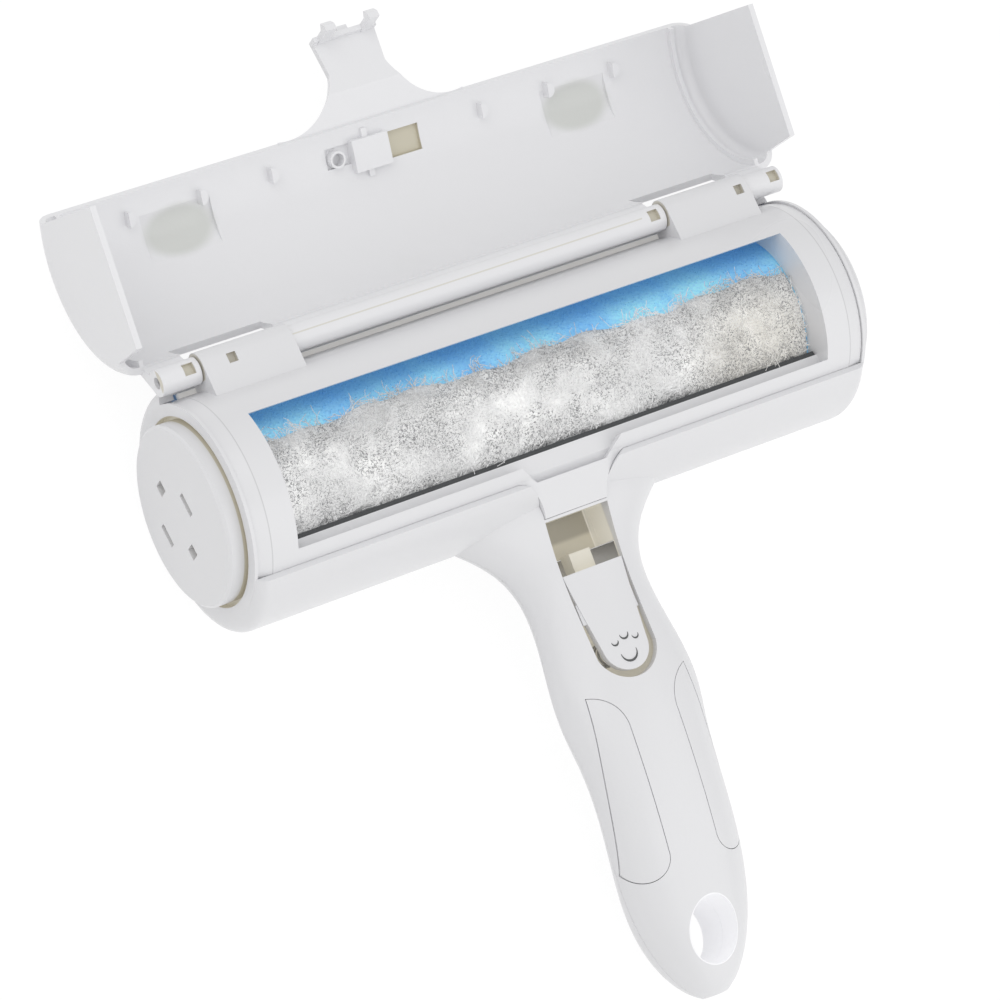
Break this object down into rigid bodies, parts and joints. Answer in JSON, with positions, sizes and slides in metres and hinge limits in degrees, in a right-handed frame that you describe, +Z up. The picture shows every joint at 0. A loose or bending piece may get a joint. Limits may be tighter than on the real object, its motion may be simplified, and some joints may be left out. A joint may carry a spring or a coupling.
{
  "type": "pet hair removal brush",
  "caption": "Handled pet hair brush: a velvet drum in a curved housing, with a hinged lid open over its window and a latch button.",
  "frame": {"origin": "middle of the ground footprint, on the surface that the drum and the handle's tip rest on", "axes": "+X along the roller, +Y from the handle towards the lid hinge, +Z up out of the window"},
  "size_m": [0.201, 0.2738, 0.0542],
  "materials": {
    "white_shell": "soft gloss",
    "inner_plastic": "matt",
    "velvet": "short pile",
    "fur": "matted hair",
    "dark_rubber": "matt",
    "steel": "drawn"
  },
  "bodies": {
    "housing": {"lower_housing": "white_shell", "window_frame": "white_shell", "handle_back": "white_shell", "grip_left": "white_shell", "grip_right": "white_shell", "housing_screws": "steel", "end_cap_left": "white_shell", "end_cap_right": "white_shell", "bearing_left": "inner_plastic", "bearing_right": "inner_plastic", "wiper_front": "dark_rubber", "wiper_rear": "dark_rubber", "window_seal": "dark_rubber", "fur_mat": "fur", "hinge_pin": "steel", "button_pin": "steel", "button_spring": "steel"},
    "drum": {"drum_core": "inner_plastic", "velvet_front": "velvet", "velvet_rear": "velvet", "drum_axle": "steel"},
    "lid": {"lid_shell": "white_shell"},
    "button": {"release_button": "white_shell"}
  },
  "joints": [
    {"name": "lid_hinge", "type": "hinge", "parent": "housing", "child": "lid", "pos_m": [0, 0.05842, 0.03464], "axis": [1, 0, 0], "range_deg": [0, 192]},
    {"name": "drum_rock", "type": "hinge", "parent": "housing", "child": "drum", "pos_m": [0, 0.02574, 0.022], "axis": [1, 0, 0], "range_deg": [-40, 40]},
    {"name": "button_press", "type": "hinge", "parent": "housing", "child": "button", "pos_m": [0, -0.03246, 0.02545], "axis": [1, 0, 0], "range_deg": [0, 6], "stiffness_Nm_per_rad": 0.6, "springref_deg": -1.72, "deforming": ["button_spring"]}
  ]
}
